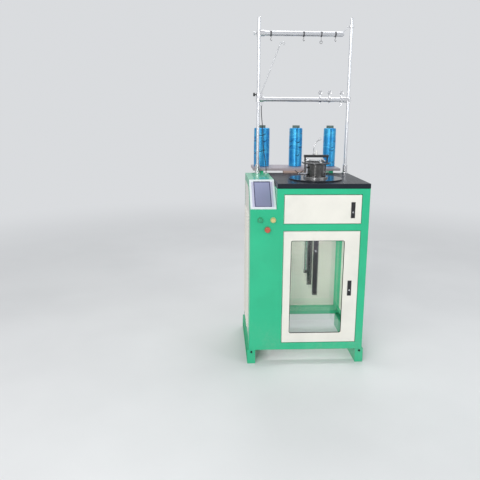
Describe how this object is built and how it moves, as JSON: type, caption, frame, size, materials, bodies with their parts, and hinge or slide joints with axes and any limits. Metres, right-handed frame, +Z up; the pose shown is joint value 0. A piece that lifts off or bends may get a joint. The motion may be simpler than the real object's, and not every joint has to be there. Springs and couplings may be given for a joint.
{
  "type": "knitting machine",
  "caption": "Floor-standing circular knitting machine: green cabinet with hinged doors and sloped console, slotted needle cylinder with cam drum, take-down rollers, rear yarn stand.",
  "frame": {"origin": "on the floor at the centre of the four anchor holes in the two skids", "axes": "+X to the operator's right, +Y from the operator's side to the rear, +Z up"},
  "size_m": [0.718, 0.8205, 2.12],
  "materials": {
    "green_paint": "gloss",
    "frame_paint": "gloss",
    "cream_paint": "satin",
    "table_paint": "satin",
    "blackened_steel": "satin",
    "machined_steel": "satin",
    "ground_steel": "gloss",
    "chrome_plate": "gloss",
    "cast_grey": "matte",
    "black_plastic": "satin",
    "white_plastic": "gloss",
    "green_plastic": "gloss",
    "yellow_plastic": "gloss",
    "red_plastic": "gloss",
    "display_glass": "gloss",
    "clear_pane": "gloss",
    "motor_paint": "satin",
    "belt_rubber": "matte",
    "blue_yarn": "satin",
    "tube_paper": "matte",
    "pale_board": "satin",
    "tan_wood": "matte",
    "cable_jacket": "matte"
  },
  "bodies": {
    "machine": {"skids": "green_paint", "base_frame": "frame_paint", "front_fascia": "green_paint", "table_top": "table_paint", "left_panel": "cream_paint", "right_panel": "cream_paint", "rear_panel": "cream_paint", "hinge_pins": "ground_steel", "screen_bezel": "white_plastic", "screen": "display_glass", "button_collars": "ground_steel", "head_plate": "table_paint", "bearing_flange": "machined_steel", "cam_drum": "machined_steel", "feeder_ring": "machined_steel", "yarn_feeders": "ground_steel", "guide_bridge": "blackened_steel", "guide_cone": "white_plastic", "guide_arm": "ground_steel", "drum_bracket": "machined_steel", "motor": "motor_paint", "motor_plate": "blackened_steel", "drive_belt": "belt_rubber", "poles": "chrome_plate", "pole_fittings": "machined_steel", "mid_bar": "chrome_plate", "top_bar": "chrome_plate", "star_knobs": "black_plastic", "tension_devices": "ground_steel", "guide_rods": "ground_steel", "thread_guides": "ground_steel", "creel_board": "pale_board", "board_block": "tan_wood", "yarn_left": "blue_yarn", "yarn_middle": "blue_yarn", "yarn_right": "blue_yarn", "yarn_tubes": "tube_paper", "signal_cable": "cable_jacket"},
    "upper_door": {"upper_door": "cream_paint", "upper_latch_body": "black_plastic"},
    "upper_lever": {"upper_latch_lever": "black_plastic"},
    "upper_button": {"upper_latch_button": "chrome_plate"},
    "lower_door": {"lower_door": "cream_paint", "window_pane": "clear_pane", "lower_latch_body": "black_plastic"},
    "lower_lever": {"lower_latch_lever": "black_plastic"},
    "lower_button": {"lower_latch_button": "chrome_plate"},
    "start": {"start_button": "green_plastic"},
    "jog": {"jog_button": "yellow_plastic"},
    "stop": {"stop_button": "red_plastic"},
    "rotor": {"spindle": "ground_steel", "needle_cylinder": "machined_steel", "needles": "ground_steel", "main_pulley": "cast_grey", "takedown_frame": "blackened_steel", "takedown_rod": "ground_steel"},
    "left_roller": {"roller_left": "machined_steel"},
    "right_roller": {"roller_right": "machined_steel"},
    "motor_rotor": {"motor_pulley": "cast_grey"},
    "stop_lever": {"stop_lever": "blackened_steel"}
  },
  "joints": [
    {"name": "upper_door_hinge", "type": "hinge", "parent": "machine", "child": "upper_door", "pos_m": [-0.143, -0.268, 0.9665], "axis": [0, 0, -1], "range_deg": [0, 110]},
    {"name": "upper_latch_pull", "type": "hinge", "parent": "upper_door", "child": "upper_lever", "pos_m": [0.253, -0.2735, 0.9975], "axis": [-1, 0, 0], "range_deg": [0, 45]},
    {"name": "upper_latch_press", "type": "slide", "parent": "upper_door", "child": "upper_button", "axis": [0, 1, 0], "range_m": [0, 0.0025], "stiffness_N_per_m": 300},
    {"name": "lower_door_hinge", "type": "hinge", "parent": "machine", "child": "lower_door", "pos_m": [-0.143, -0.268, 0.486], "axis": [0, 0, -1], "range_deg": [0, 110]},
    {"name": "lower_latch_pull", "type": "hinge", "parent": "lower_door", "child": "lower_lever", "pos_m": [0.253, -0.2735, 0.519], "axis": [-1, 0, 0], "range_deg": [0, 45]},
    {"name": "lower_latch_press", "type": "slide", "parent": "lower_door", "child": "lower_button", "axis": [0, 1, 0], "range_m": [0, 0.0025], "stiffness_N_per_m": 300},
    {"name": "start_press", "type": "slide", "parent": "machine", "child": "start", "axis": [0, 1, 0], "range_m": [0, 0.004], "stiffness_N_per_m": 300},
    {"name": "jog_press", "type": "slide", "parent": "machine", "child": "jog", "axis": [0, 1, 0], "range_m": [0, 0.004], "stiffness_N_per_m": 300},
    {"name": "stop_press", "type": "slide", "parent": "machine", "child": "stop", "axis": [0, 1, 0], "range_m": [0, 0.004], "stiffness_N_per_m": 300},
    {"name": "cylinder_spin", "type": "hinge", "parent": "machine", "child": "rotor", "pos_m": [0.067, -0.06, 1.135], "axis": [0, 0, 1], "continuous": true},
    {"name": "motor_spin", "type": "hinge", "parent": "machine", "child": "motor_rotor", "pos_m": [0.22, 0.112, 1.034], "axis": [0, 0, 1], "continuous": true},
    {"name": "left_roller_spin", "type": "hinge", "parent": "rotor", "child": "left_roller", "pos_m": [0.0475, -0.06, 0.85], "axis": [0, 1, 0], "continuous": true},
    {"name": "right_roller_spin", "type": "hinge", "parent": "rotor", "child": "right_roller", "pos_m": [0.0865, -0.06, 0.85], "axis": [0, 1, 0], "continuous": true},
    {"name": "stop_lever_swing", "type": "hinge", "parent": "machine", "child": "stop_lever", "pos_m": [-0.039, -0.06, 1.151], "axis": [0, 1, 0], "range_deg": [-15, 15]}
  ],
  "couplings": [
    {"joint": "motor_spin", "follows": "cylinder_spin", "ratio": 3.4561},
    {"joint": "left_roller_spin", "follows": "cylinder_spin", "ratio": 0.2},
    {"joint": "right_roller_spin", "follows": "cylinder_spin", "ratio": -0.2}
  ]
}
